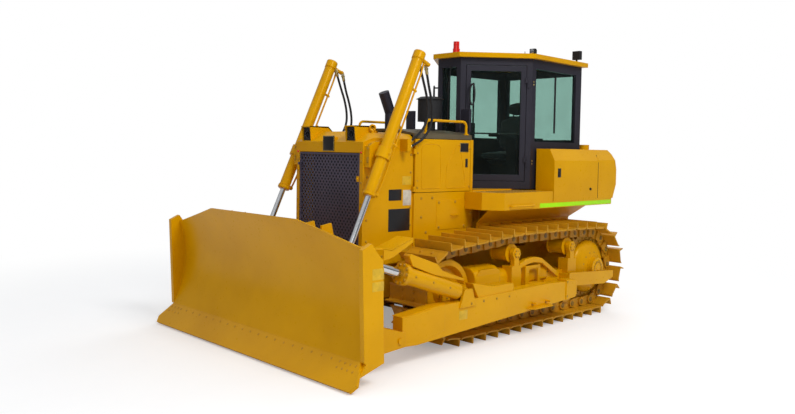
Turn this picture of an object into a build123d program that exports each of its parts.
"""Crawler bulldozer with a straight tilt blade, as separate sub-parts.

Units are millimetres.  Sizes are given in the machine's own frame: X forward
from the sprocket's centre, Y to the machine's left, Z up from the ground.
`place` then moves every sub-part so that the origin lies under the middle of
the whole machine.
"""
from build123d import *
from math import atan2, cos, degrees, hypot, pi, radians, sin
import os

# ---------------------------------------------------------------- clearances
FIT = 0.3            # between faces that seat on each other
RUNNING = 6.0        # round a door or lid
SIDES = (("left", 1), ("right", -1))

# -------------------------------------------------------------------- hinges
KNUCKLE_RADIUS = 10.0
KNUCKLE_LENGTH = 60.0
LEAF = 32.0
LEAF_FOOT = 36.0
ENGINE_HINGES = (1740.0, 2170.0)   # heights
GRILLE_HINGES = (1160.0, 1960.0)
CAB_HINGES = (2020.0, 3040.0)

# --------------------------------------------------------------- undercarriage
GAUGE = 2000.0       # between the middles of the two tracks
SHOE_WIDTH = 560.0
LINK_PITCH = 216.0
LINK_PHASE = 2 / 3 * LINK_PITCH  # from the loop's start to the first pin
LINK_COUNT = 39
SPROCKET_TEETH = 27  # every second gap takes a bushing
SHOE_SEAT = 62.0     # from the pins out to the shoes' plates
SHOE_PLATE = 16.0
GROUSER = 80.0
GROUSER_TIP = 14.0    # thickness of a grouser at its tip
GROUSER_ROOT = 20.0   # thickness of a grouser at the plate
LINK_RAIL = 60.0     # from the pins in to the rail that the rollers run on
LINK_RAIL_WIDTH = 45.0
LINK_RAIL_MIDDLE = 85.0
BUSHING_RADIUS = 33.0
IDLER_TREAD = 355.0
ROLLER_RADIUS = 100.0
ROLLER_COUNT = 7
ROLLER_FIRST_X = 545.0
ROLLER_STEP = 305.0
CARRIER_X = (540.0, 1690.0)
CARRIER_RADIUS = 100.0
CARRIER_Z = 935.0
CARRIER_SAG = 6.0    # room for a link that lies across a carrier roller
TRACK_BEAM_HALF = 120.0
TRACK_BEAM_TOP = 640.0
TRACK_BEAM_REAR = 530.0
FORK_HALF = 150.0    # from the track's middle out to the idler's fork

# ------------------------------------------------------------------ main frame
FRAME_HALF = 430.0
FRAME_PLATE = 40.0
FRAME_BOTTOM = 500.0
FRAME_TOP = 880.0
FRAME_FRONT = 3540.0
CASE_REAR = -480.0
CASE_FRONT = 520.0
CASE_TOP = 1250.0
GUARD_BOTTOM = 460.0
GUARD_PLATE = 20.0
DRAWBAR_REAR = -960.0
DRAWBAR_PIN_RADIUS = 28.0
DRAWBAR_HALF = 130.0
EQUALIZER_X = 2480.0
EQUALIZER_HALF_X = 80.0
EQUALIZER_BOTTOM = 515.0
EQUALIZER_TOP = 635.0

# ---------------------------------------------------------------- nose and hood
NOSE_FRONT = 3620.0
NOSE_REAR = 2862.0
NOSE_HALF = 600.0
NOSE_TOP = 2230.0
NOSE_PLATE = 22.0
GRILLE_HALF = 540.0
GRILLE_BOTTOM = 1020.0
GRILLE_TOP = 2110.0
GRILLE_DEPTH = 40.0
HOOD_HALF = 620.0
HOOD_REAR = 1880.0
HOOD_EDGE_Z = 2290.0
HOOD_CROWN = 115.0
HOOD_PLATE = 30.0
ENGINE_TOP = 1950.0
EXHAUST = (2500.0, -200.0)
EXHAUST_RADIUS = 62.0
INTAKE = (2200.0, 200.0)
INTAKE_RADIUS = 70.0
DOOR_SILL = 1668.0   # lower edge of the engine doors, above the platforms' steps
DOOR_PLATE = 40.0
COVER_BOTTOM = 900.0

# ------------------------------------------------------------------------ cab
CAB_BASE_TOP = 1675.0
CAB_FLOOR = 45.0
CAB_WALL = 55.0
CAB_TOP = 3350.0
CAB_SILL = 95.0
CAB_HEADER = 90.0
CAB_POST = 70.0
CAB_FRONT = (1650.0, 200.0)    # corner x and half width
CAB_MIDDLE = (930.0, 790.0)
CAB_REAR = (-330.0, 690.0)
ROOF_EDGE = 60.0
ROOF_CROWN = 35.0
ROOF_OVERHANG = 65.0
ROOF_RIM = 125.0     # flat border outside the crown
GLASS = 8.0

# ------------------------------------------------------- platforms and boxes
PLATFORM_HALF = 1100.0
PLATFORM_INNER = 630.0
PLATFORM_LOW = 1450.0
PLATFORM_DECK = 1530.0
PLATFORM_STEP = 1660.0
PLATFORM_FRONT = 2000.0
BOX_FRONT = 830.0
BOX_REAR = -180.0
BOX_INNER = 812.0
BOX_TOP = 2200.0
BOX_SHOULDER = 2050.0
TANK_REAR = -640.0
TANK_INNER_X = -420.0

# ------------------------------------------------------- where the doors turn
ENGINE_AXIS = (NOSE_REAR - 7, HOOD_HALF + 12)     # x and y, left side
GRILLE_AXIS = (NOSE_FRONT + 12, -GRILLE_HALF - 5)
CAB_AXIS = (CAB_POST - 8, 12.0)                   # along and out of the door's wall

# ------------------------------------------------------------ blade and arms
BLADE_HALF = 1747.0
END_PLATE = 53.0
EDGE_HALF = 1862.0
EDGE_CENTRE_HALF = 1450.0
SEAM = (4600.0, 250.0)         # top of the cutting edge, x and z
EDGE_TIP = (4790.0, 30.0)
EDGE_PLATE = 32.0
BLADE_TOP = (4650.0, 1466.0)
BLADE_BELLY = (4452.0, 850.0)
BLADE_FLAT = (4530.0, 430.0)
BLADE_PLATE = 25.0
BLADE_BACK = 4380.0
CROWN_HALF = 800.0             # level part of the top edge
BLADE_SHOULDER = 1242.0
ARM_Y = 1440.0
ARM_HALF = 70.0
TRUNNION = (995.0, 480.0)
ARM_PIN = (3930.0, 297.0)
BALL_RADIUS = 62.0
ARM_EYE = 92.0
PIN_RADIUS = 32.0
SOCKET_BORE = 44.0

# ------------------------------------------------------------------ cylinders
LIFT_Y = 777.0
LIFT_PIVOT = (3480.0, 2110.0)
LIFT_PIN = (4130.0, 700.0)
LIFT_BARREL = 64.0
LIFT_ROD = 31.0
LIFT_BARREL_UP = 1245.0        # from the pivot to the barrel's upper end
LIFT_BARREL_DOWN = 492.0
LIFT_EYE = 62.0
LIFT_EYE_HALF = 60.0
LUG_GAP = 126.0                # from the eye's middle to a lug's inner face
LUG_PLATE = 25.0
TILT_REAR = (2910.0, 640.0)
TILT_FRONT = (4230.0, 1062.0)
TILT_BARREL = 90.0
TILT_ROD = 45.0
TILT_BARREL_LENGTH = 970.0
TILT_EYE = 62.0
TILT_PIN = 22.0
TILT_BALL = 48.0
TILT_LUG = 87.0      # from the rod's middle to the inner face of a lug

# ------------------------------------------------------- what follows from them
PITCH_RADIUS = SPROCKET_TEETH * LINK_PITCH / (4 * pi)
GROUSER_REACH = SHOE_SEAT + SHOE_PLATE + GROUSER
SPROCKET_Z = GROUSER_REACH + PITCH_RADIUS
IDLER_PITCH = hypot(IDLER_TREAD + LINK_RAIL + FIT, LINK_PITCH / 2)
IDLER_Z = GROUSER_REACH + IDLER_PITCH
CARRIER_PITCH = CARRIER_RADIUS + LINK_RAIL + CARRIER_SAG
ROLLER_Z = GROUSER_REACH + LINK_RAIL + ROLLER_RADIUS
TRACK_Y = GAUGE / 2
ORIGIN_X = (EDGE_TIP[0] + DRAWBAR_REAR) / 2


# ==================================================================== helpers
def place(shape):
    """Move a shape from the machine's frame to the part's own origin."""
    return Pos(-ORIGIN_X, 0, 0) * shape


def block(x0, x1, y0, y1, z0, z1):
    """A box between two corners."""
    middle = ((x0 + x1) / 2, (y0 + y1) / 2, (z0 + z1) / 2)
    return Pos(*middle) * Box(abs(x1 - x0), abs(y1 - y0), abs(z1 - z0))


def side_plate(outline, y0, y1, radius=0.0):
    """A plate of an (x, z) outline that reaches from y0 to y1."""
    plane = Plane(origin=(0, y0, 0), x_dir=(1, 0, 0), z_dir=(0, -1, 0))
    face = plane * Polygon(*outline, align=None)
    if radius:
        face = fillet(face.vertices(), radius)
    return extrude(face, amount=y1 - y0, dir=(0, 1, 0))


def cross_plate(outline, x0, x1):
    """A plate of a (y, z) outline that reaches from x0 to x1."""
    plane = Plane(origin=(x0, 0, 0), x_dir=(0, 1, 0), z_dir=(1, 0, 0))
    return extrude(plane * Polygon(*outline, align=None), amount=x1 - x0, dir=(1, 0, 0))


def flat_plate(outline, z0, z1):
    """A plate of an (x, y) outline that reaches from z0 to z1."""
    return extrude(Pos(0, 0, z0) * Polygon(*outline, align=None), amount=z1 - z0)


def rod(start, end, radius):
    """A round bar between two points."""
    start, end = Vector(start), Vector(end)
    plane = Plane(origin=start, z_dir=end - start)
    middle = (Align.CENTER, Align.CENTER, Align.MIN)
    return plane * Cylinder(radius, (end - start).length, align=middle)


def cross_rod(x, z, y0, y1, radius):
    """A round bar across the machine."""
    return rod((x, min(y0, y1), z), (x, max(y0, y1), z), radius)


def turned(profile, x, z):
    """A solid of revolution about a cross axis, from (y, radius) points."""
    plane = Plane(origin=(x, 0, z), x_dir=(0, 1, 0), z_dir=(1, 0, 0))
    return revolve(plane * Polygon(*profile, align=None), Axis((x, 0, z), (0, 1, 0)))


def pipe(points, bend, radius):
    """A bent tube of round section."""
    path = FilletPolyline(*points, radius=bend)
    start = Plane(origin=path @ 0, z_dir=path % 0)
    return sweep(start * Circle(radius), path=path)


def mirrored(shape, side):
    """The shape itself on the left, its mirror image on the right."""
    return shape if side > 0 else mirror(shape, about=Plane.XZ)


def unite(*shapes):
    """All shapes fused."""
    result = shapes[0]
    for shape in shapes[1:]:
        result = result + shape
    return result


def knuckle(axis, along, inward, z0, z1, frame=Plane.XY):
    """A hinge knuckle on a vertical axis, with a bent leaf into what carries it.

    `along` points from the axis to the carried edge and `inward`, +1 or -1,
    says on which side of it the leaf turns in.
    """
    leaf = Plane(origin=(*axis, 0), x_dir=(*along, 0), z_dir=(0, 0, 1))
    strap = block(0, LEAF, -0.6 * KNUCKLE_RADIUS, 0.6 * KNUCKLE_RADIUS, z0, z1)
    foot = block(LEAF / 2, LEAF, 0, inward * LEAF_FOOT, z0, z1)
    barrel = Pos(*axis, (z0 + z1) / 2) * Cylinder(KNUCKLE_RADIUS, z1 - z0)
    return frame * (barrel + leaf * (strap + foot))


def fixed_knuckles(axis, along, inward, heights, frame=Plane.XY):
    """The lower halves of a door's hinges, on what holds the door."""
    return [knuckle(axis, along, inward, z - KNUCKLE_LENGTH, z - FIT, frame) for z in heights]


def door_knuckles(axis, along, inward, heights, frame=Plane.XY):
    """The upper halves of a door's hinges, on the door."""
    return [knuckle(axis, along, inward, z, z + KNUCKLE_LENGTH, frame) for z in heights]


# ============================================================ track geometry
def loop_wheels(idler_x):
    """The four wheels that the pins run round: centre and pitch radius."""
    return [((idler_x, IDLER_Z), IDLER_PITCH),
            ((CARRIER_X[1], CARRIER_Z), CARRIER_PITCH),
            ((CARRIER_X[0], CARRIER_Z), CARRIER_PITCH),
            ((0.0, SPROCKET_Z), PITCH_RADIUS)]


def loop_spans(idler_x):
    """Arcs and straight runs of the pins' loop, counter-clockwise in (x, z)."""
    wheels = loop_wheels(idler_x)
    count = len(wheels)
    joins = []
    for k in range(count):
        (a, ra), (b, rb) = wheels[k], wheels[(k + 1) % count]
        dx, dz = b[0] - a[0], b[1] - a[1]
        run = (hypot(dx, dz) ** 2 - (ra - rb) ** 2) ** 0.5
        joins.append((atan2(dz, dx) - pi / 2 + atan2(ra - rb, run), run))
    spans = []
    for k in range(count):
        centre, radius = wheels[k]
        start, end = joins[k - 1][0], joins[k][0]
        while end < start:
            end += 2 * pi
        spans.append(("arc", centre, radius, start, end))
        x0 = centre[0] + radius * cos(end)
        z0 = centre[1] + radius * sin(end)
        heading = end + pi / 2
        spans.append(("run", (x0, z0), joins[k][1], heading, heading))
    return spans


def span_length(span):
    """Length of one arc or run."""
    return span[2] * (span[4] - span[3]) if span[0] == "arc" else span[2]


def solve_idler_x():
    """The idler's place at which the links close the loop exactly."""
    wanted = LINK_COUNT * LINK_PITCH
    low, high = 2000.0, 4000.0
    for _ in range(50):
        middle = (low + high) / 2
        total = sum(span_length(s) for s in loop_spans(middle))
        low, high = (middle, high) if total < wanted else (low, middle)
    return (low + high) / 2


IDLER_X = solve_idler_x()


def loop_point(distance):
    """The (x, z) point of the pins' loop at a distance along it."""
    spans = loop_spans(IDLER_X)
    distance %= sum(span_length(s) for s in spans)
    for span in spans:
        length = span_length(span)
        if distance <= length:
            break
        distance -= length
    kind, origin, size, start, _ = span
    if kind == "arc":
        angle = start + distance / size
        return origin[0] + size * cos(angle), origin[1] + size * sin(angle)
    return origin[0] + distance * cos(start), origin[1] + distance * sin(start)


def pins():
    """The pins' centres, one link apart."""
    return [loop_point(k * LINK_PITCH + LINK_PHASE) for k in range(LINK_COUNT)]


def link_points(profile):
    """One closed outline that repeats (along, out) points on every link."""
    centres = pins()
    outline = []
    for k in range(LINK_COUNT):
        (x0, z0), (x1, z1) = centres[k], centres[(k + 1) % LINK_COUNT]
        length = hypot(x1 - x0, z1 - z0)
        tx, tz = (x1 - x0) / length, (z1 - z0) / length
        nx, nz = tz, -tx
        mx, mz = (x0 + x1) / 2, (z0 + z1) / 2
        for along, out in profile:
            outline.append((mx + along * tx + out * nx, mz + along * tz + out * nz))
    return outline


# =============================================================== undercarriage
def track(side):
    """One closed track: shoes with grousers, link rails and bushings."""
    middle = side * TRACK_Y
    half = SHOE_WIDTH / 2
    top = SHOE_SEAT + SHOE_PLATE
    end, bar = LINK_PITCH / 2 - 8, LINK_PITCH / 2 - 12
    shoe = [(-end, top), (-bar, GROUSER_REACH), (GROUSER_TIP - bar, GROUSER_REACH), (GROUSER_ROOT - bar, top), (end, top)]
    seat = [(-bar, SHOE_SEAT), (bar, SHOE_SEAT)]
    rail = [(8 - bar, -LINK_RAIL), (bar - 8, -LINK_RAIL)]
    shoes = (side_plate(link_points(shoe), middle - half, middle + half)
             - side_plate(link_points(seat), middle - half, middle + half))
    result = shoes
    for offset in (-LINK_RAIL_MIDDLE, LINK_RAIL_MIDDLE):
        y0 = middle + offset - LINK_RAIL_WIDTH / 2
        y1 = y0 + LINK_RAIL_WIDTH
        result += (side_plate(link_points(seat), y0, y1) - side_plate(link_points(rail), y0, y1))
    reach = LINK_RAIL_MIDDLE
    plane = Plane(origin=(0, middle - reach, 0), x_dir=(1, 0, 0), z_dir=(0, -1, 0))
    bushings = Sketch() + [Pos(x, z) * RegularPolygon(BUSHING_RADIUS, 6) for x, z in pins()]
    return result + extrude(plane * bushings, amount=2 * reach, dir=(0, 1, 0))


def sprockets():
    """A toothed ring bolted to each final drive."""
    width, inner, tip = 80.0, 300.0, PITCH_RADIUS + 26
    first_x, first_z = next(p for p in pins() if p[0] < -PITCH_RADIUS * 0.6)
    phase = degrees(atan2(first_z - SPROCKET_Z, first_x))
    ring = Circle(tip) - Circle(inner)
    ring -= PolarLocations(PITCH_RADIUS, SPROCKET_TEETH, start_angle=phase) * Circle(BUSHING_RADIUS + 3)
    ring -= PolarLocations(tip, SPROCKET_TEETH, start_angle=phase) * Circle(BUSHING_RADIUS + 9)
    result = []
    for _, side in SIDES:
        y0 = side * TRACK_Y - width / 2
        plane = Plane(origin=(0, y0, SPROCKET_Z), x_dir=(1, 0, 0), z_dir=(0, -1, 0))
        result.append(extrude(plane * ring, amount=width, dir=(0, 1, 0)))
    return Compound(result)


def final_drives():
    """The drum inside each sprocket and the cover and hub outside it."""
    y_in, y_ring = TRACK_Y - 40 - FIT, TRACK_Y + 40 + FIT
    profile = [(FRAME_HALF + FIT, 0), (FRAME_HALF + FIT, 260), (600, 260), (640, 375), (925, 375),
               (925, 360), (y_in, 360), (y_in, 300 - FIT), (y_ring, 300 - FIT), (y_ring, 345),
               (y_ring + 25, 345), (y_ring + 110, 190), (y_ring + 120, 130), (1250, 130), (1250, 0)]
    drum = turned(profile, 0, SPROCKET_Z)
    return Compound([mirrored(drum, side) for _, side in SIDES])


def idlers():
    """The front wheels, with a guide flange between the rails."""
    flange = IDLER_TREAD + 20
    half = [(45, flange), (50, IDLER_TREAD), (112, IDLER_TREAD), (112, IDLER_TREAD - 60),
            (40, IDLER_TREAD - 90), (40, 150), (100, 120), (100, 0)]
    profile = [(TRACK_Y - y, r) for y, r in reversed(half)] + [(TRACK_Y + y, r) for y, r in half]
    wheel = turned(profile, IDLER_X, IDLER_Z)
    return Compound([mirrored(wheel, side) for _, side in SIDES])


def track_rollers():
    """Seven double-flanged rollers under each track frame."""
    flange = ROLLER_RADIUS + 18
    half = [(58, ROLLER_RADIUS), (115, ROLLER_RADIUS), (115, flange), (132, flange), (132, 0)]
    profile = [(TRACK_Y - y, r) for y, r in reversed(half)] + [(TRACK_Y + y, r) for y, r in half]
    rollers = []
    for k in range(ROLLER_COUNT):
        wheel = turned(profile, ROLLER_FIRST_X + k * ROLLER_STEP, ROLLER_Z)
        rollers += [mirrored(wheel, side) for _, side in SIDES]
    return Compound(rollers)


def carrier_rollers():
    """Two rollers under each upper run, each on a shaft from its stand."""
    rollers = []
    for x in CARRIER_X:
        profile = [(880, 0), (880, CARRIER_RADIUS + 18), (890, CARRIER_RADIUS + 18),
                   (890, CARRIER_RADIUS), (1110, CARRIER_RADIUS), (1110, CARRIER_RADIUS + 15),
                   (1122, CARRIER_RADIUS + 15), (1130, 45), (1215, 45), (1215, 0)]
        wheel = turned(profile, x, CARRIER_Z)
        rollers += [mirrored(wheel, side) for _, side in SIDES]
    return Compound(rollers)


def track_frame(side):
    """The beam that carries one track's wheels and the push arm's trunnion."""
    y0, y1 = TRACK_Y - TRACK_BEAM_HALF, TRACK_Y + TRACK_BEAM_HALF
    low = ROLLER_Z + ROLLER_RADIUS + 18 + RUNNING
    beam = side_plate([(TRACK_BEAM_REAR + 20, low), (2420, low), (2420, TRACK_BEAM_TOP - 40), (2380, TRACK_BEAM_TOP),
                       (TRACK_BEAM_REAR, TRACK_BEAM_TOP), (TRACK_BEAM_REAR, low + 60)], y0, y1)
    hangers = []
    for k in range(ROLLER_COUNT):
        x = ROLLER_FIRST_X + k * ROLLER_STEP
        for y in (TRACK_Y - 160, TRACK_Y + 132 + FIT):
            hangers.append(block(x - 55, x + 55, y, y + 28 - FIT, ROLLER_Z - 45, low + 40))
            side_arm = block(x - 55, x + 55, min(y, y1) if y > TRACK_Y else y, y + 28 - FIT if y > TRACK_Y else y0,
                             low, low + 40)
            hangers.append(side_arm)
    fork = []
    for y in (TRACK_Y - FORK_HALF, TRACK_Y + 115):
        fork.append(side_plate([(2250, 470), (IDLER_X + 110, 480), (IDLER_X + 110, 660), (2250, 640)], y, y + 35 - FIT))
        fork.append(block(2250, 2410, min(y, y1), max(y + 35 - FIT, y0), 480, 630))
    stands = []
    for x in CARRIER_X:
        post = block(x - 90, x + 90, TRACK_Y + 55, y1, TRACK_BEAM_TOP, 790)
        neck = block(x - 45, x + 45, 1145, 1205, TRACK_BEAM_TOP - 100, CARRIER_Z)
        foot = block(x - 90, x + 90, y1, 1205, TRACK_BEAM_TOP - 100, 790)
        clamp = cross_rod(x, CARRIER_Z, 1145, 1205, 72) - cross_rod(x, CARRIER_Z, 1100, 1250, 45 + FIT)
        neck -= cross_rod(x, CARRIER_Z, 1100, 1250, 45 + FIT)
        stands += [post, foot, neck, clamp]
    recoil = side_plate([(1960, TRACK_BEAM_TOP), (2380, TRACK_BEAM_TOP), (2380, 730), (2300, 790), (2040, 790),
                         (1960, 760)], y0 + 30, y1 + 50)
    recoil += block(1960, 2380, y0 + 30, y1 + 50, TRACK_BEAM_TOP - 60, TRACK_BEAM_TOP)
    trunnion = cross_rod(*TRUNNION, y1 - 20, ARM_Y, PIN_RADIUS)
    trunnion += cross_rod(*TRUNNION, y1 - 20, 1330, 58)
    seat = cross_rod(*TRUNNION, TRACK_Y + 165, 1330, 105)
    ball = Pos(TRUNNION[0], ARM_Y, TRUNNION[1]) * Sphere(BALL_RADIUS)
    rear = side_plate([(700, 470), (700, 620), (-330, 560), (-330, 470), (-120, 400), (700, low + 10)],
                      1258, 1285)
    link = block(600, 700, y1 - 20, 1285, 480, 600)
    frame = unite(beam, *hangers, *fork, *stands, recoil, trunnion, seat, ball, rear, link)
    return mirrored(frame, side)


# ================================================================== main frame
def main_frame():
    """Two deep side members, cross members and the guard underneath."""
    parts = []
    for _, side in SIDES:
        outer, inner = side * FRAME_HALF, side * (FRAME_HALF - FRAME_PLATE)
        parts.append(side_plate([(CASE_FRONT + FIT, FRAME_BOTTOM), (FRAME_FRONT - 160, FRAME_BOTTOM),
                                 (FRAME_FRONT, FRAME_BOTTOM + 160), (FRAME_FRONT, FRAME_TOP),
                                 (CASE_FRONT + FIT, FRAME_TOP)], min(outer, inner), max(outer, inner)))
    inside = FRAME_HALF - FRAME_PLATE
    window = EQUALIZER_HALF_X + 25
    for k in (0, 1):
        parts[k] -= block(EQUALIZER_X - window, EQUALIZER_X + window, -FRAME_HALF - 5, FRAME_HALF + 5,
                          EQUALIZER_BOTTOM - 10, EQUALIZER_TOP + 25)
    parts.append(block(EQUALIZER_X - 60, EQUALIZER_X + 60, -inside, inside, EQUALIZER_TOP + 60, FRAME_TOP))
    parts.append(block(EQUALIZER_X - 50, EQUALIZER_X + 50, -70, 70, EQUALIZER_TOP + FIT, EQUALIZER_TOP + 60))
    for x in (CASE_FRONT + FIT, 1900, 2800, FRAME_FRONT - 60):
        parts.append(block(x, x + 60, -inside, inside, FRAME_TOP - 200, FRAME_TOP))
    guard = [(CASE_FRONT + FIT, GUARD_BOTTOM), (FRAME_FRONT - 150, GUARD_BOTTOM), (FRAME_FRONT + 30, 650),
             (FRAME_FRONT + 30, FRAME_TOP), (FRAME_FRONT, FRAME_TOP), (FRAME_FRONT, 660),
             (FRAME_FRONT - 165, FRAME_BOTTOM), (CASE_FRONT + FIT, FRAME_BOTTOM)]
    parts.append(side_plate(guard, -FRAME_HALF, FRAME_HALF))
    return unite(*parts)


def transmission_case():
    """The steering and transmission case between the final drives."""
    case = side_plate([(CASE_REAR, 560), (CASE_REAR + 80, FRAME_BOTTOM), (CASE_FRONT, FRAME_BOTTOM),
                       (CASE_FRONT, CASE_TOP), (CASE_REAR, CASE_TOP)], -FRAME_HALF, FRAME_HALF)
    return case


def drawbar():
    """Rear towing jaw with the hole for its pin."""
    outline = [(CASE_REAR - FIT, -210), (CASE_REAR - FIT, 210), (-620, DRAWBAR_HALF),
               (DRAWBAR_REAR, DRAWBAR_HALF * 0.7), (DRAWBAR_REAR, -DRAWBAR_HALF * 0.7), (-620, -DRAWBAR_HALF)]
    hole = Pos(DRAWBAR_REAR + 80, 0, 500) * Cylinder(DRAWBAR_PIN_RADIUS, 600)
    body = flat_plate(outline, 420, 470) + flat_plate(outline, 570, 620)
    body += block(-640, CASE_REAR - FIT, -DRAWBAR_HALF, DRAWBAR_HALF, 420, 620)
    body += block(CASE_REAR - 40, CASE_REAR - FIT, -260, 260, 400, 720)
    return body - hole


def equalizer_bar():
    """The cross bar that lets the track frames rock under the engine."""
    reach = TRACK_Y - FORK_HALF - FIT
    low, high = EQUALIZER_BOTTOM, EQUALIZER_TOP
    outline = [(-reach, low + 20), (-500, low), (500, low), (reach, low + 20), (reach, high - 20), (500, high),
               (-500, high), (-reach, high - 20)]
    return cross_plate(outline, EQUALIZER_X - EQUALIZER_HALF_X, EQUALIZER_X + EQUALIZER_HALF_X)


# ================================================================ nose and hood
def nose_guard():
    """The radiator's housing: side plates, top, front frame and skirt."""
    bottom = FRAME_TOP + FIT
    parts = []
    for _, side in SIDES:
        y = side * NOSE_HALF
        parts.append(block(NOSE_REAR, NOSE_FRONT, min(y, y - side * NOSE_PLATE), max(y, y - side * NOSE_PLATE),
                           bottom, NOSE_TOP))
        y = side * GRILLE_HALF
        parts.append(block(NOSE_FRONT - 60, NOSE_FRONT, min(y + side * RUNNING, side * NOSE_HALF),
                           max(y + side * RUNNING, side * NOSE_HALF), bottom, NOSE_TOP))
        pad = side_plate([(3340, 1960), (3600, 1960), (3600, 2190), (3520, 2240), (3400, 2240), (3340, 2190)],
                         NOSE_HALF - 10, LIFT_Y - LIFT_BARREL - 30)
        pin = cross_rod(LIFT_PIVOT[0], LIFT_PIVOT[1], NOSE_HALF, LIFT_Y - LIFT_BARREL - 20 - FIT, 45)
        parts += [mirrored(pad, side), mirrored(pin, side)]
        parts += [mirrored(k, side) for k in fixed_knuckles(ENGINE_AXIS, (1, 0), -1, ENGINE_HINGES)]
    parts += fixed_knuckles(GRILLE_AXIS, (0, -1), -1, GRILLE_HINGES)
    parts.append(block(NOSE_REAR, NOSE_FRONT, -NOSE_HALF, NOSE_HALF, NOSE_TOP - NOSE_PLATE, NOSE_TOP))
    parts.append(block(NOSE_REAR, NOSE_FRONT, -NOSE_HALF, NOSE_HALF, bottom, bottom + NOSE_PLATE))
    parts.append(block(NOSE_FRONT - 60, NOSE_FRONT, -NOSE_HALF, NOSE_HALF, GRILLE_TOP + RUNNING, NOSE_TOP))
    parts.append(block(NOSE_FRONT - 60, NOSE_FRONT, -NOSE_HALF, NOSE_HALF, bottom, GRILLE_BOTTOM - RUNNING))
    return unite(*parts)


def radiator():
    """The cooling core behind the grille."""
    return block(3300, 3440, -500, 500, FRAME_TOP + 2 * FIT + NOSE_PLATE, 2080)


def grille_door():
    """The perforated radiator door, hinged on the machine's right."""
    depth = GRILLE_DEPTH
    door = block(NOSE_FRONT - depth, NOSE_FRONT, -GRILLE_HALF, GRILLE_HALF, GRILLE_BOTTOM, GRILLE_TOP)
    return unite(door, *door_knuckles(GRILLE_AXIS, (0, 1), 1, GRILLE_HINGES))


def engine_block():
    """The engine's mass, as one plain block."""
    return block(1960, 2850, -330, 330, FRAME_TOP + FIT, ENGINE_TOP)


def hood_outline(inward):
    """The hood's (y, z) section, moved inward by a distance."""
    half, low, top = HOOD_HALF - inward, HOOD_EDGE_Z, HOOD_EDGE_Z + HOOD_CROWN - inward
    right = [(half, low), (half - 10, low + 55 - inward / 2), (half - 200, top - 25), (150, top)]
    return right + [(-y, z) for y, z in reversed(right)]


def hood_top():
    """The dark crowned panel over the engine, with holes for its pipes."""
    hood = cross_plate(hood_outline(0), HOOD_REAR, NOSE_REAR - FIT)
    hood -= cross_plate(hood_outline(HOOD_PLATE), HOOD_REAR + HOOD_PLATE, NOSE_REAR)
    for (x, y), radius in ((EXHAUST, EXHAUST_RADIUS), (INTAKE, INTAKE_RADIUS)):
        hood -= Pos(x, y, HOOD_EDGE_Z + HOOD_CROWN) * Cylinder(radius + RUNNING, 2 * HOOD_CROWN)
    return hood


def lower_covers():
    """The fixed sheets under the engine doors and the bulkhead behind them."""
    rear = HOOD_REAR - 25
    parts = [block(rear, HOOD_REAR + 20, -HOOD_HALF, HOOD_HALF, COVER_BOTTOM, HOOD_EDGE_Z - FIT)]
    for _, side in SIDES:
        y = side * HOOD_HALF
        inner = y - side * DOOR_PLATE
        parts.append(block(rear, NOSE_REAR - FIT, min(y, inner), max(y, inner), COVER_BOTTOM, DOOR_SILL - RUNNING))
        foot = FRAME_HALF - FRAME_PLATE
        parts.append(block(rear, HOOD_REAR + 20, min(side * foot, y), max(side * foot, y), FRAME_TOP + FIT,
                           COVER_BOTTOM))
    return unite(*parts)


def engine_door(side):
    """A side door over the engine, hinged at its front edge."""
    front, rear = NOSE_REAR - 12, HOOD_REAR + 20 + RUNNING
    door = block(rear, front, HOOD_HALF - DOOR_PLATE, HOOD_HALF, DOOR_SILL, HOOD_EDGE_Z - RUNNING)
    return mirrored(unite(door, *door_knuckles(ENGINE_AXIS, (-1, 0), 1, ENGINE_HINGES)), side)


def exhaust_pipe():
    """The stack, curved at its mouth."""
    x, y = EXHAUST
    stack = rod((x, y, ENGINE_TOP + FIT), (x, y, 2660), EXHAUST_RADIUS)
    mouth = rod((x, y, 2620), (x + 110, y, 2860), EXHAUST_RADIUS + 4)
    return stack + mouth


def precleaner():
    """The bowl on the engine's air intake."""
    x, y = INTAKE
    z = HOOD_EDGE_Z + HOOD_CROWN
    duct = rod((x, y, ENGINE_TOP + FIT), (x, y, z + 110), INTAKE_RADIUS)
    return duct + Pos(x, y, z + 240) * Cylinder(150, 280) + Pos(x, y, z + 390) * Cone(175, 120, 30)


# ========================================================================= cab
def cab_plan():
    """The six corners of the cab, counter-clockwise from the front left."""
    left = [CAB_FRONT, CAB_MIDDLE, CAB_REAR]
    return left + [(x, -y) for x, y in reversed(left)]


def cab_ring(grow):
    """The cab's outline as a face, grown outward."""
    face = Polygon(*cab_plan(), align=None)
    return offset(face, grow, kind=Kind.INTERSECTION) if grow else face


def wall_frame(start, end):
    """A wall's own frame: X along it from start, Y outward, Z up."""
    along = Vector(end[0] - start[0], end[1] - start[1], 0)
    return Plane(origin=(start[0], start[1], 0), x_dir=along, z_dir=(0, 0, 1))


def wall_block(wall, s0, s1, out0, out1, z0, z1):
    """A box given along, out of and up a wall."""
    return wall * block(s0, s1, out0, out1, z0, z1)


def door_wall(side):
    """The frame of the wall that a door closes, from the hinge forward."""
    start = (CAB_MIDDLE[0], side * CAB_MIDDLE[1])
    end = (CAB_FRONT[0], side * CAB_FRONT[1])
    return wall_frame(start, end), hypot(end[0] - start[0], end[1] - start[1])


def cab_base():
    """The deck that the cab and the platforms stand on."""
    half = PLATFORM_INNER - FIT
    deck = block(CASE_REAR + 80, HOOD_REAR - 25 - FIT, -half, half, CASE_TOP + 200, CAB_BASE_TOP)
    deck += block(CASE_REAR + 80, CASE_FRONT, -FRAME_HALF, FRAME_HALF, CASE_TOP + FIT, CASE_TOP + 200)
    for _, side in SIDES:
        y0, y1 = sorted((side * (FRAME_HALF - FRAME_PLATE), side * FRAME_HALF))
        deck += block(1500, 1800, y0, y1, FRAME_TOP + FIT, CASE_TOP + 200)
    return deck


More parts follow.
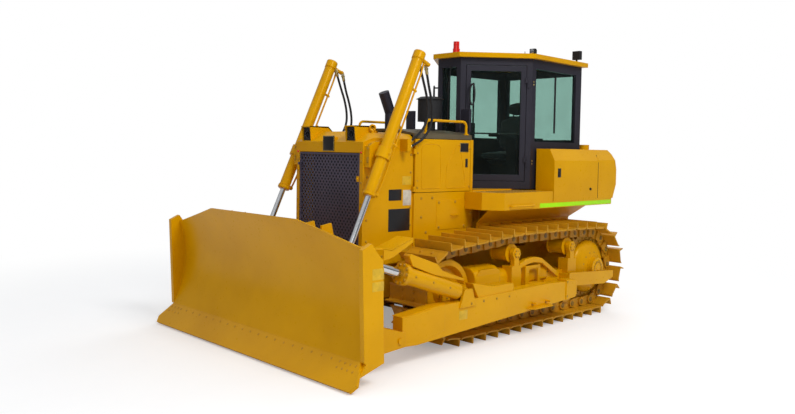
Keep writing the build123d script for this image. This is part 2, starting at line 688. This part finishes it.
def cab_windows():
    """Every fixed opening: wall, s0, s1, z0 and z1."""
    front = wall_frame((CAB_FRONT[0], -CAB_FRONT[1]), CAB_FRONT)
    rear = wall_frame(CAB_REAR, (CAB_REAR[0], -CAB_REAR[1]))
    reach = hypot(CAB_MIDDLE[0] - CAB_REAR[0], CAB_MIDDLE[1] - CAB_REAR[1])
    top = CAB_TOP - CAB_HEADER - 30
    openings = [(front, 70, 2 * CAB_FRONT[1] - 70, CAB_BASE_TOP + 160, top),
                (rear, 110, 2 * CAB_REAR[1] - 110, 2330, top)]
    for _, side in SIDES:
        wall = wall_frame((CAB_REAR[0], side * CAB_REAR[1]), (CAB_MIDDLE[0], side * CAB_MIDDLE[1]))
        openings.append((wall, 150, reach - 90, 2290, top))
    return openings


def cab_frame():
    """Posts, sills, header and floor, hollow, with every opening cut."""
    base = CAB_BASE_TOP + FIT
    shell = extrude(Pos(0, 0, base) * cab_ring(0), CAB_TOP - base)
    shell -= extrude(Pos(0, 0, base + CAB_FLOOR) * cab_ring(-CAB_WALL), CAB_TOP)
    for wall, s0, s1, z0, z1 in cab_windows():
        shell -= wall_block(wall, s0, s1, -CAB_WALL * 1.5, CAB_WALL * 1.5, z0, z1)
    for _, side in SIDES:
        wall, length = door_wall(side)
        shell -= wall_block(wall, CAB_POST, length - CAB_POST, -CAB_WALL * 1.6, CAB_WALL * 1.6,
                            CAB_BASE_TOP + CAB_SILL, CAB_TOP - CAB_HEADER)
    knuckles = fixed_knuckles(CAB_AXIS, (-1, 0), 1, CAB_HINGES, door_wall(1)[0])
    return unite(shell, *[mirrored(k, side) for k in knuckles for _, side in SIDES])


def cab_glass():
    """The fixed panes, each in its own opening."""
    panes = []
    for wall, s0, s1, z0, z1 in cab_windows():
        out = CAB_WALL / 2 if wall_outward(wall) > 0 else -CAB_WALL / 2
        panes.append(wall_block(wall, s0 + FIT, s1 - FIT, -out - GLASS / 2, -out + GLASS / 2, z0 + FIT, z1 - FIT))
    return Compound(panes)


def wall_outward(wall):
    """+1 where the wall frame's Y points away from the cab's middle."""
    middle = Vector(CAB_MIDDLE[0] - wall.origin.X, -wall.origin.Y, 0)
    return -1 if wall.y_dir.dot(middle) > 0 else 1


def cab_roof():
    """The lid, with a low crown and the rear air box."""
    lid = extrude(Pos(0, 0, CAB_TOP + FIT) * cab_ring(ROOF_OVERHANG), ROOF_EDGE)
    crown = loft(Sketch() + [Pos(0, 0, CAB_TOP + FIT + ROOF_EDGE) * cab_ring(ROOF_OVERHANG - ROOF_RIM),
                             Pos(0, 0, CAB_TOP + FIT + ROOF_EDGE + ROOF_CROWN) * cab_ring(-ROOF_RIM - 100)])
    return lid + crown


def door_span():
    """The door's own edges: along the wall, then in height."""
    length = door_wall(1)[1]
    return (CAB_POST + RUNNING, length - CAB_POST - RUNNING,
            CAB_BASE_TOP + CAB_SILL + RUNNING, CAB_TOP - CAB_HEADER - RUNNING)


def door_window(gap):
    """The hole in the door's frame, less a gap all round."""
    s0, s1, z0, z1 = door_span()
    return s0 + 70 + gap, s1 - 60 - gap, z0 + 80 + gap, z1 - 70 - gap


def cab_door(side):
    """A full-height glazed door, hinged at the middle post."""
    wall = door_wall(1)[0]
    s0, s1, z0, z1 = door_span()
    door = wall_block(wall, s0, s1, -CAB_WALL, 0, z0, z1)
    s0, s1, z0, z1 = door_window(0)
    door -= wall_block(wall, s0, s1, -2 * CAB_WALL, CAB_WALL, z0, z1)
    return mirrored(unite(door, *door_knuckles(CAB_AXIS, (1, 0), -1, CAB_HINGES, wall)), side)


def door_glass(side):
    """The door's pane."""
    wall = door_wall(1)[0]
    s0, s1, z0, z1 = door_window(FIT)
    pane = wall_block(wall, s0, s1, -(CAB_WALL + GLASS) / 2, -(CAB_WALL - GLASS) / 2, z0, z1)
    return mirrored(pane, side)


def seat():
    """The operator's seat."""
    floor = CAB_BASE_TOP + 2 * FIT + CAB_FLOOR
    base = block(280, 640, -200, 200, floor, floor + 300)
    cushion = block(240, 760, -260, 260, floor + 300, floor + 440)
    back = side_plate([(200, floor + 420), (330, floor + 420), (250, floor + 1130), (140, floor + 1130)], -230, 230)
    return unite(base, cushion, back)


def controls():
    """Side consoles and the front column with its levers."""
    floor = CAB_BASE_TOP + 2 * FIT + CAB_FLOOR
    parts = []
    for _, side in SIDES:
        y0, y1 = sorted((side * 320, side * 480))
        parts.append(block(250, 850, y0, y1, floor, floor + 620))
    parts.append(block(1330, 1480, -180, 180, floor, floor + 800))
    return Compound(parts)


# ============================================================ decks and boxes
def platform(side):
    """The fender beside the cab, with its raised step in front."""
    deck = flat_plate([(TANK_REAR + 110, PLATFORM_INNER), (PLATFORM_FRONT - 150, PLATFORM_INNER),
                       (PLATFORM_FRONT, PLATFORM_INNER), (PLATFORM_FRONT, 900), (PLATFORM_FRONT - 180, PLATFORM_HALF),
                       (TANK_REAR + 110, PLATFORM_HALF)], PLATFORM_LOW, PLATFORM_DECK)
    step = flat_plate([(BOX_FRONT + 20, PLATFORM_INNER), (PLATFORM_FRONT, PLATFORM_INNER), (PLATFORM_FRONT, 900),
                       (PLATFORM_FRONT - 180, PLATFORM_HALF), (BOX_FRONT + 20, PLATFORM_HALF)],
                      PLATFORM_DECK, PLATFORM_STEP)
    return mirrored(deck + step, side)


def side_box(side):
    """The box beside the cab, chamfered along its upper outer edge."""
    outline = [(BOX_INNER, PLATFORM_DECK + FIT), (PLATFORM_HALF, PLATFORM_DECK + FIT), (PLATFORM_HALF, BOX_SHOULDER),
               (PLATFORM_HALF - 80, BOX_TOP), (BOX_INNER, BOX_TOP)]
    return mirrored(cross_plate(outline, BOX_REAR + FIT, BOX_FRONT), side)


def fuel_tank():
    """The tank across the rear, with cheeks beside the cab."""
    low, top = PLATFORM_DECK + FIT, BOX_TOP
    back = [(TANK_REAR + 80, low), (TANK_REAR, 1720), (TANK_REAR, 1930), (TANK_REAR + 60, BOX_TOP - 60),
            (TANK_REAR + 120, top)]
    middle = side_plate([(TANK_INNER_X, low)] + back + [(TANK_INNER_X, top)], -PLATFORM_HALF, PLATFORM_HALF)
    cheeks = []
    for _, side in SIDES:
        outline = [(BOX_INNER, low), (PLATFORM_HALF, low), (PLATFORM_HALF, top), (BOX_INNER, top)]
        cheeks.append(mirrored(cross_plate(outline, TANK_INNER_X - 5, BOX_REAR), side))
    chamfer = [(PLATFORM_HALF + 5, BOX_SHOULDER), (PLATFORM_HALF + 5, top + 5), (PLATFORM_HALF - 83, top + 5)]
    tank = unite(middle, *cheeks)
    for _, side in SIDES:
        tank -= mirrored(cross_plate(chamfer, TANK_REAR - 10, BOX_REAR + 10), side)
    return tank + (Pos(-520, 640, top + 35) * Cylinder(70, 70))


def handrails():
    """Grab rails on the hood."""
    z = HOOD_EDGE_Z + 20
    hood = cross_plate(hood_outline(0), HOOD_REAR, NOSE_REAR)
    rails = []
    for _, side in SIDES:
        y = side * 590
        points = [(2660, y, z), (2660, y, z + 195), (1960, y, z + 195), (1960, y, z)]
        rails.append(pipe(points, 60, 16) - hood)
    return Compound(rails)


def lamps():
    """Headlamps on the nose and work lamps on the roof."""
    parts = []
    for y in (-420, 380):
        parts.append(block(3380, 3600, y - 75, y + 75, NOSE_TOP + FIT, NOSE_TOP + 165))
    top = CAB_TOP + FIT + ROOF_EDGE + FIT
    for x, y in ((-330, 600), (-330, -600)):
        parts.append(Pos(x, y, top + 30) * Cylinder(14, 60) + block(x - 40, x + 20, y - 60, y + 60, top + 55, top + 175))
    return Compound(parts)


def beacon():
    """The warning lamp at the roof's front."""
    top = CAB_TOP + FIT + ROOF_EDGE + FIT
    x, y = CAB_FRONT[0] + 5, 120
    return Pos(x, y, top + 25) * Cylinder(45, 50) + Pos(x, y, top + 95) * Cylinder(38, 90)


def mirrors():
    """A mirror on each front post."""
    result = []
    cab = extrude(Pos(0, 0, CAB_BASE_TOP) * cab_ring(FIT), CAB_TOP - CAB_BASE_TOP)
    for _, side in SIDES:
        head = block(1835, 1875, 420, 560, 2390, 2670)
        arm = rod((1845, 440, 2420), (CAB_FRONT[0] - 10, CAB_FRONT[1] - 10, 2420), 12) - cab
        result.append(mirrored(head + arm, side))
    return Compound(result)


# ============================================================== blade and arms
def blade_curve():
    """The moldboard's front line: flat at the foot, then one arc."""
    foot = Line(SEAM, BLADE_FLAT)
    bowl = ThreePointArc(BLADE_FLAT, BLADE_BELLY, BLADE_TOP)
    return foot, bowl


def edge_point(down, behind):
    """The (x, z) point down the cutting edge's slope and behind its face."""
    length = hypot(EDGE_TIP[0] - SEAM[0], EDGE_TIP[1] - SEAM[1])
    ux, uz = (EDGE_TIP[0] - SEAM[0]) / length, (EDGE_TIP[1] - SEAM[1]) / length
    return SEAM[0] + down * ux + behind * uz, SEAM[1] + down * uz - behind * ux


def blade():
    """Moldboard, box beams behind it, end plates and all the lugs."""
    plane = Plane(origin=(0, -BLADE_HALF, 0), x_dir=(1, 0, 0), z_dir=(0, -1, 0))
    foot, bowl = blade_curve()
    back_top = (BLADE_TOP[0] - BLADE_PLATE, BLADE_TOP[1])
    back_belly = (BLADE_BELLY[0] - BLADE_PLATE, BLADE_BELLY[1])
    back_flat = (BLADE_FLAT[0] - BLADE_PLATE, BLADE_FLAT[1])
    back_seam = (SEAM[0] - BLADE_PLATE - 5, SEAM[1] - 8)
    section = foot + bowl + Line(BLADE_TOP, back_top) + ThreePointArc(back_top, back_belly, back_flat)
    section += Line(back_flat, back_seam) + Line(back_seam, SEAM)
    sheet = extrude(plane * make_face(section), amount=2 * BLADE_HALF, dir=(0, 1, 0))
    front_side = Line(SEAM, BLADE_FLAT) + ThreePointArc(BLADE_FLAT, BLADE_BELLY, BLADE_TOP)
    front_side += Polyline(BLADE_TOP, (5200, BLADE_TOP[1]), (5200, SEAM[1]), SEAM)
    ahead = extrude(plane * make_face(front_side), amount=2 * BLADE_HALF, dir=(0, 1, 0))
    back = EDGE_PLATE + FIT
    foot_line = [edge_point(150, back), edge_point(0, back), edge_point(0, 0)]
    beams = side_plate([(BLADE_BACK - 20, 210)] + foot_line + [BLADE_FLAT, (BLADE_BACK - 20, 470)],
                       -BLADE_HALF, BLADE_HALF)
    beams += side_plate([(BLADE_BACK, 760), (4470, 760), (4470, 980), (BLADE_BACK, 980)], -BLADE_HALF, BLADE_HALF)
    beams += side_plate([(4420, 1150), (4560, 1150), (4560, 1215), (4420, 1215)], -BLADE_HALF, BLADE_HALF)
    beams -= ahead
    crown = cross_plate([(-BLADE_HALF, 1800), (-BLADE_HALF, BLADE_SHOULDER), (-CROWN_HALF, BLADE_TOP[1]),
                         (CROWN_HALF, BLADE_TOP[1]), (BLADE_HALF, BLADE_SHOULDER), (BLADE_HALF, 1800)], 4000, 5000)
    body = sheet + beams - crown
    ends = [(4640, 1265), (4530, 1316), (4470, 1236), (4390, 1153), (4376, 640), (BLADE_BACK - 20, 210)]
    ends += foot_line
    parts = [body]
    for _, side in SIDES:
        parts.append(mirrored(side_plate(ends, BLADE_HALF - 1, BLADE_HALF + END_PLATE), side))
        for y in (LIFT_Y - LUG_GAP - LUG_PLATE, LIFT_Y + LUG_GAP):
            lug = side_plate([(4040, 640), (4040, 780), (4240, 1180), (4300, 1420), (4420, 1400), (4430, 440),
                              (4350, 440), (4200, 560)], y, y + LUG_PLATE)
            parts.append(mirrored(lug, side))
        for y in (ARM_Y - ARM_HALF - 45, ARM_Y + ARM_HALF + 10):
            ear = side_plate([(ARM_PIN[0] - 75, 230), (ARM_PIN[0] - 75, 370), (4200, 470), (4430, 470), (4430, 190),
                              (4360, 190)], y, y + 35, radius=0)
            parts.append(mirrored(ear, side))
        for y in (ARM_Y - TILT_LUG - 30, ARM_Y + TILT_LUG):
            lug = side_plate([(4170, 1000), (4170, 1120), (4260, 1160), (4420, 1160), (4420, 900), (4250, 960)],
                             y, y + 30)
            parts.append(mirrored(lug, side))
        pin = cross_rod(ARM_PIN[0], ARM_PIN[1], ARM_Y - ARM_HALF - 50, ARM_Y + ARM_HALF + 60, PIN_RADIUS)
        ball = Pos(ARM_PIN[0], ARM_Y, ARM_PIN[1]) * Sphere(BALL_RADIUS)
        parts.append(mirrored(pin + ball, side))
    return unite(*parts)


def cutting_edge():
    """Bolted edges along the foot, with flared bits at the ends."""
    slope = Vector(EDGE_TIP[0] - SEAM[0], 0, EDGE_TIP[1] - SEAM[1])
    face = Plane(origin=(SEAM[0], 0, SEAM[1]), x_dir=(0, 1, 0), z_dir=Vector(0, 1, 0).cross(slope.normalized()))
    down = 1 if face.y_dir.dot(slope) > 0 else -1
    length = slope.length
    half = EDGE_CENTRE_HALF
    centre = [(-half, 0), (half, 0), (half, down * length), (-half, down * length)]
    bit = [(half + FIT, 0), (BLADE_HALF, 0), (BLADE_HALF + 20, 40), (EDGE_HALF, 0.74 * length),
           (EDGE_HALF - 45, length), (half + FIT, length)]
    pieces = []
    behind = face.z_dir if face.z_dir.X < 0 else face.z_dir * -1
    pieces.append(extrude(face * Polygon(*centre, align=None), amount=EDGE_PLATE, dir=behind))
    for _, side in SIDES:
        outline = [(side * y, down * d) for y, d in bit]
        pieces.append(extrude(face * Polygon(*outline, align=None), amount=EDGE_PLATE, dir=behind))
    return Compound(pieces)


def socket(x, z):
    """The hollow that a ball turns in, open on both sides for its pin."""
    return (Pos(x, ARM_Y, z) * Sphere(BALL_RADIUS + FIT)
            + cross_rod(x, z, ARM_Y - 300, ARM_Y + 300, SOCKET_BORE))


def push_arm(side):
    """A box arm from its trunnion to the blade, with ears for the brace."""
    arm = side_plate([(1080, 360), (1080, 580), (1500, 595), (3420, 560), (3850, 420), (3850, 215), (3650, 205)],
                     ARM_Y - ARM_HALF, ARM_Y + ARM_HALF)
    arm += cross_rod(*TRUNNION, ARM_Y - 60, ARM_Y + 60, ARM_EYE + 20)
    arm += cross_rod(*ARM_PIN, ARM_Y - 55, ARM_Y + 55, ARM_EYE)
    for y in (ARM_Y - TILT_EYE - 25, ARM_Y + TILT_EYE - 5):
        arm += side_plate([(2780, 500), (3040, 500), (2970, 690), (2850, 690)], y, y + 30)
    arm += cross_rod(*TILT_REAR, ARM_Y - TILT_EYE - 20, ARM_Y + TILT_EYE + 20, TILT_PIN)
    arm += Pos(TILT_REAR[0], ARM_Y, TILT_REAR[1]) * Sphere(TILT_BALL)
    arm = arm - socket(*TRUNNION) - socket(*ARM_PIN)
    return mirrored(arm, side)


# =================================================================== cylinders
def along(start, end, distance):
    """The (x, z) point at a distance from start towards end."""
    length = hypot(end[0] - start[0], end[1] - start[1])
    return (start[0] + (end[0] - start[0]) * distance / length,
            start[1] + (end[1] - start[1]) * distance / length)


def bar(a, b, y, radius):
    """A round bar between two (x, z) points at one y."""
    return rod((a[0], y, a[1]), (b[0], y, b[1]), radius)


def lift_cylinder(side):
    """A barrel in its swivel ring, with the gland at its lower end."""
    up = along(LIFT_PIVOT, LIFT_PIN, -LIFT_BARREL_UP)
    down = along(LIFT_PIVOT, LIFT_PIN, LIFT_BARREL_DOWN)
    ring_a = along(LIFT_PIVOT, LIFT_PIN, -60)
    ring_b = along(LIFT_PIVOT, LIFT_PIN, 60)
    barrel = bar(up, down, LIFT_Y, LIFT_BARREL) + bar(ring_a, ring_b, LIFT_Y, LIFT_BARREL + 20)
    barrel -= bar(along(LIFT_PIVOT, LIFT_PIN, 30 - LIFT_BARREL_UP), along(LIFT_PIVOT, LIFT_PIN, LIFT_BARREL_DOWN + 50),
                  LIFT_Y, LIFT_ROD + FIT)
    return mirrored(barrel, side)


def lift_rod(side):
    """The chromed rod and the eye at its end."""
    inside = along(LIFT_PIVOT, LIFT_PIN, 20)
    result = bar(inside, LIFT_PIN, LIFT_Y, LIFT_ROD)
    result += cross_rod(*LIFT_PIN, LIFT_Y - LIFT_EYE_HALF, LIFT_Y + LIFT_EYE_HALF, LIFT_EYE)
    return mirrored(result, side)


def tilt_cylinder():
    """The barrel on the left arm that tilts the blade."""
    end = along(TILT_REAR, TILT_FRONT, TILT_BARREL_LENGTH)
    start = along(TILT_REAR, TILT_FRONT, 110)
    barrel = bar(start, end, ARM_Y, TILT_BARREL)
    barrel += bar(along(TILT_REAR, TILT_FRONT, TILT_BARREL_LENGTH - 60), end, ARM_Y, TILT_BARREL + 22)
    eye = cross_rod(*TILT_REAR, ARM_Y - 45, ARM_Y + 45, TILT_EYE) + bar(TILT_REAR, start, ARM_Y, 42)
    barrel += eye
    barrel -= cross_rod(*TILT_REAR, ARM_Y - 90, ARM_Y + 90, TILT_PIN + 8)
    barrel -= Pos(TILT_REAR[0], ARM_Y, TILT_REAR[1]) * Sphere(TILT_BALL + FIT)
    barrel -= bar(along(TILT_REAR, TILT_FRONT, 300), along(TILT_REAR, TILT_FRONT, 1200), ARM_Y, TILT_ROD + FIT)
    return barrel


def tilt_rod():
    """The tilt cylinder's rod and its eye."""
    result = bar(along(TILT_REAR, TILT_FRONT, 420), TILT_FRONT, ARM_Y, TILT_ROD)
    result += cross_rod(*TILT_FRONT, ARM_Y - 72, ARM_Y + 72, 28)
    return result + cross_rod(*TILT_FRONT, ARM_Y - 45, ARM_Y + 45, TILT_EYE)


def brace():
    """The strut of fixed length on the right arm."""
    result = bar(along(TILT_REAR, TILT_FRONT, TILT_EYE - 8), TILT_FRONT, ARM_Y, 50)
    result += cross_rod(*TILT_REAR, ARM_Y - 45, ARM_Y + 45, TILT_EYE)
    result += cross_rod(*TILT_FRONT, ARM_Y - 45, ARM_Y + 45, TILT_EYE)
    result += cross_rod(*TILT_FRONT, ARM_Y - TILT_LUG + FIT, ARM_Y + TILT_LUG - FIT, TILT_PIN)
    result -= cross_rod(*TILT_REAR, ARM_Y - 90, ARM_Y + 90, TILT_PIN + 8)
    result -= Pos(TILT_REAR[0], ARM_Y, TILT_REAR[1]) * Sphere(TILT_BALL + FIT)
    return mirrored(result, -1)


NODES = {
    "main_frame": main_frame, "transmission_case": transmission_case, "drawbar": drawbar,
    "equalizer_bar": equalizer_bar, "final_drives": final_drives, "sprockets": sprockets,
    "idlers": idlers, "track_rollers": track_rollers, "carrier_rollers": carrier_rollers,
    "nose_guard": nose_guard, "radiator": radiator, "grille_door": grille_door,
    "engine_block": engine_block, "hood_top": hood_top, "lower_covers": lower_covers,
    "exhaust_pipe": exhaust_pipe, "precleaner": precleaner, "cab_base": cab_base,
    "cab_frame": cab_frame, "cab_glass": cab_glass, "cab_roof": cab_roof, "seat": seat,
    "controls": controls, "fuel_tank": fuel_tank, "handrails": handrails, "lamps": lamps,
    "beacon": beacon, "mirrors": mirrors, "blade": blade, "cutting_edge": cutting_edge,
    "tilt_cylinder": tilt_cylinder, "tilt_rod": tilt_rod, "brace": brace,
}
PAIRED_NODES = {
    "track": track, "track_frame": track_frame, "engine_door": engine_door, "cab_door": cab_door,
    "door_glass": door_glass, "platform": platform, "side_box": side_box, "push_arm": push_arm,
    "lift_cylinder": lift_cylinder, "lift_rod": lift_rod,
}


def main():
    """Write one STEP file for each sub-part."""
    os.makedirs("parts", exist_ok=True)
    for name, build in NODES.items():
        export_step(place(build()), f"parts/{name}.step")
    for name, build in PAIRED_NODES.items():
        for word, side in SIDES:
            export_step(place(build(side)), f"parts/{name}_{word}.step")


if __name__ == "__main__":
    main()
